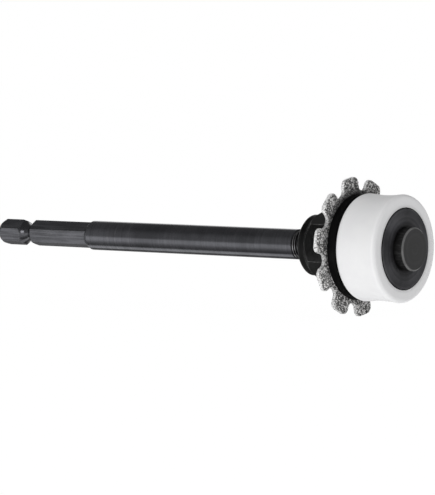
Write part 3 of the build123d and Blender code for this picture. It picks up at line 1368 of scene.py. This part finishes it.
@dataclass
class GuideRoller:
    """The free-turning nylon roller with its sealed ball bearing."""

    def build(self, shop: Workshop) -> None:
        """Dress the roller and its bearing.

        Args:
            shop: Where the finishes come from.
        """
        shop.dress(WHITE_NYLON, "guide_roller")
        shop.dress(BEARING_STEEL, "bearing_inner_ring", "bearing_outer_ring", "bearing_balls")
        shop.dress(BEARING_STEEL, "rear_spacer", "front_spacer")
        shop.dress(CAGE_STEEL, "cage_front", "cage_rear", "cage_rivets")
        shop.dress(SEAL_RUBBER, "seal_rear", "seal_front")


@dataclass
class FrontCover:
    """The cover disc in the roller's mouth and the cap nut that holds it."""

    def build(self, shop: Workshop) -> None:
        """Dress the cover and the cap."""
        shop.dress(FACED_OXIDE, "cover_disc")
        shop.dress(CAP_OXIDE, "cap_nut")


@dataclass
class Studio:
    """The light table, the room, the soft lamp and the camera.

    The table's shares tell how much of white the metal mirrors from each stretch of the table.
    Y runs from the camera's side to the back.
    """

    azimuth: float = 37.404
    elevation: float = 3.411
    distance: float = 971.66 * MM
    aim: tuple[float, float, float] = (74.736 * MM, 0.0, -1.832 * MM)
    lens: float = 263.73
    sensor: float = 36.0
    clip: Range = (0.01, 20.0)
    table_half: float = 3.0
    table_share_seen: float = 0.97
    table_glow: float = 0.53
    table_cloth: Colour = grey(0.9)
    shade_y: Range = (-36.0 * MM, -6.0 * MM)
    shade_shares: Range = (0.9, 0.14)
    far_y: Range = (-250.0 * MM, -60.0 * MM)
    far_shares: Range = (0.45, 1.0)
    behind_y: Range = (10.4 * MM, 26.0 * MM)
    behind_shares: Range = (0.0, 0.3)
    streak_y: Band = Band(0.0, 5.8 * MM, 2.4 * MM)
    streak_end_x: float = 95.0 * MM
    streak_end_fade: float = 5.0 * MM
    sky_level: float = 0.505
    room_level: float = 0.12
    backdrop: tuple[float, float, float] = (-0.6, 0.8, 0.0)
    backdrop_ends: Range = (0.82, 0.97)
    front: tuple[float, float, float] = (-0.6, -0.8, -0.1)
    front_ends: Range = (0.55, 1.0)
    front_level: float = 0.3
    lamp_place: tuple[float, float, float] = (0.25, -0.9, 0.12)
    lamp_size: tuple[float, float] = (0.7, 0.35)
    lamp_watts: float = 2.75

    def light_paths(self, nodes: NodeTree) -> tuple[Socket, Socket]:
        """Tell what the camera sees from what shows in the metal.

        Args:
            nodes: The material's or world's tree.

        Returns:
            Whether the ray comes from the camera, and whether it is mirrored or goes through.
        """
        path = nodes.add("ShaderNodeLightPath").outputs
        mirrored = nodes.math("MAXIMUM", path["Is Glossy Ray"], path["Is Transmission Ray"])
        return path["Is Camera Ray"], mirrored

    def table_pattern(self, nodes: NodeTree) -> Socket:
        """Tell how bright the table looks in the metal, as a painted pattern: bright before the tool, a
        painted shadow under it and under the head, and a painted bright strip under the shank.

        Args:
            nodes: The table's tree.

        Returns:
            The share of white, from 0 to 1.
        """
        place = nodes.parts(nodes.add("ShaderNodeNewGeometry").outputs["Position"])
        depth = place["Y"]
        near = nodes.spread(depth, self.shade_y, self.shade_shares)
        far = nodes.spread(depth, self.far_y, self.far_shares)
        behind = nodes.spread(depth, self.behind_y, self.behind_shares)
        across = nodes.within(depth, self.streak_y.middle, self.streak_y.half, self.streak_y.fade)
        before_head = nodes.math("SUBTRACT", self.streak_end_x, place["X"])
        streak = nodes.product(across, nodes.math("DIVIDE", before_head, self.streak_end_fade, clamp=True))
        plain = nodes.math("MAXIMUM", nodes.product(near, far), behind)
        return nodes.math("MAXIMUM", plain, streak)

    def lay_table(self) -> None:
        """Lay the pale light table under the tool."""
        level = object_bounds()[0][2]
        half = self.table_half
        corners = [(-half, -half, level), (half, -half, level), (half, half, level), (-half, half, level)]
        mesh = bpy.data.meshes.new("light_table")
        mesh.from_pydata(corners, [], [(0, 1, 2, 3)])
        material = bpy.data.materials.new("light_table")
        material.use_nodes = True
        nodes = NodeTree(material.node_tree)
        seen, mirrored = self.light_paths(nodes)
        glowing = nodes.math("ADD", nodes.product(seen, self.table_share_seen), mirrored, clamp=True)
        strength = nodes.math("ADD", seen, nodes.product(mirrored, self.table_pattern(nodes)))
        cloth = nodes.add("ShaderNodeBsdfDiffuse", {"Color": self.table_cloth})
        glow = nodes.add("ShaderNodeEmission", {"Color": grey(1.0), "Strength": self.table_glow})
        lit = nodes.add("ShaderNodeAddShader", {0: cloth.outputs[0], 1: glow.outputs[0]})
        shown = nodes.add("ShaderNodeEmission", {"Color": grey(1.0), "Strength": strength})
        top = nodes.add("ShaderNodeMixShader", {0: glowing, 1: lit.outputs[0], 2: shown.outputs[0]})
        clear = nodes.add("ShaderNodeBsdfTransparent")
        under = nodes.add("ShaderNodeNewGeometry").outputs["Backfacing"]
        sided = nodes.add("ShaderNodeMixShader", {0: under, 1: top.outputs[0], 2: clear.outputs[0]})
        nodes.add("ShaderNodeOutputMaterial", {"Surface": sided.outputs[0]})
        mesh.materials.append(material)
        table = put("light_table", mesh)
        table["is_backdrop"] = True

    def light_room(self) -> None:
        """Make the room: a white backdrop, a dimmer rest for the metal to show, and soft light."""
        world = bpy.data.worlds.new("studio")
        world.use_nodes = True
        bpy.context.scene.world = world
        nodes = NodeTree(world.node_tree)
        seen, mirrored = self.light_paths(nodes)
        direction = nodes.add("ShaderNodeTexCoord").outputs["Generated"]
        behind = nodes.measure("DOT_PRODUCT", direction, self.backdrop)
        before = nodes.measure("DOT_PRODUCT", direction, self.front)
        back = nodes.spread(behind, self.backdrop_ends, (self.room_level, 1.0))
        front = nodes.spread(before, self.front_ends, (self.room_level, self.front_level))
        shown = nodes.math("MAXIMUM", seen, nodes.product(mirrored, nodes.math("MAXIMUM", back, front)))
        unseen = nodes.math("SUBTRACT", 1.0, nodes.math("MAXIMUM", seen, mirrored))
        strength = nodes.math("ADD", shown, nodes.product(unseen, self.sky_level))
        glow = nodes.add("ShaderNodeBackground", {"Color": grey(1.0), "Strength": strength})
        nodes.add("ShaderNodeOutputWorld", {"Surface": glow.outputs[0]})

    def hang_lamp(self) -> None:
        """Hang the soft lamp, pointed at the tool."""
        data = bpy.data.lights.new("front_lamp", "AREA")
        data.shape = "RECTANGLE"
        data.size, data.size_y = self.lamp_size
        data.energy = self.lamp_watts
        lamp = put("front_lamp", data)
        lamp.location = self.lamp_place
        towards = Vector(self.aim) - Vector(self.lamp_place)
        lamp.rotation_euler = towards.to_track_quat("-Z", "Y").to_euler()

    def place_camera(self) -> None:
        """Put the camera where the photograph was taken from."""
        turn, rise = math.radians(self.azimuth), math.radians(self.elevation)
        back = Vector((math.sin(turn) * math.cos(rise), -math.cos(turn) * math.cos(rise), math.sin(rise)))
        data = bpy.data.cameras.new("camera")
        data.lens = self.lens
        data.sensor_width = self.sensor
        data.clip_start, data.clip_end = self.clip
        camera = put("camera", data)
        camera.location = Vector(self.aim) + back * self.distance
        camera.rotation_euler = (-back).to_track_quat("-Z", "Y").to_euler()
        bpy.context.scene.camera = camera

    def build(self) -> None:
        """Set up the whole studio."""
        bpy.context.scene.view_settings.view_transform = "Standard"
        self.lay_table()
        self.light_room()
        self.hang_lamp()
        self.place_camera()
        LOG.info("the studio is set")


def main() -> None:
    """Build the tool piece by piece and set the studio."""
    logging.basicConfig(level=logging.INFO, format="%(name)s: %(message)s")
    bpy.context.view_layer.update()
    shop = Workshop()
    for part in (Arbor(), ClampStack(), CuttingWheel(), GuideRoller(), FrontCover()):
        part.build(shop)
    Studio().build()
    LOG.info("the boxes are kept")


if __name__ == "__main__":
    main()
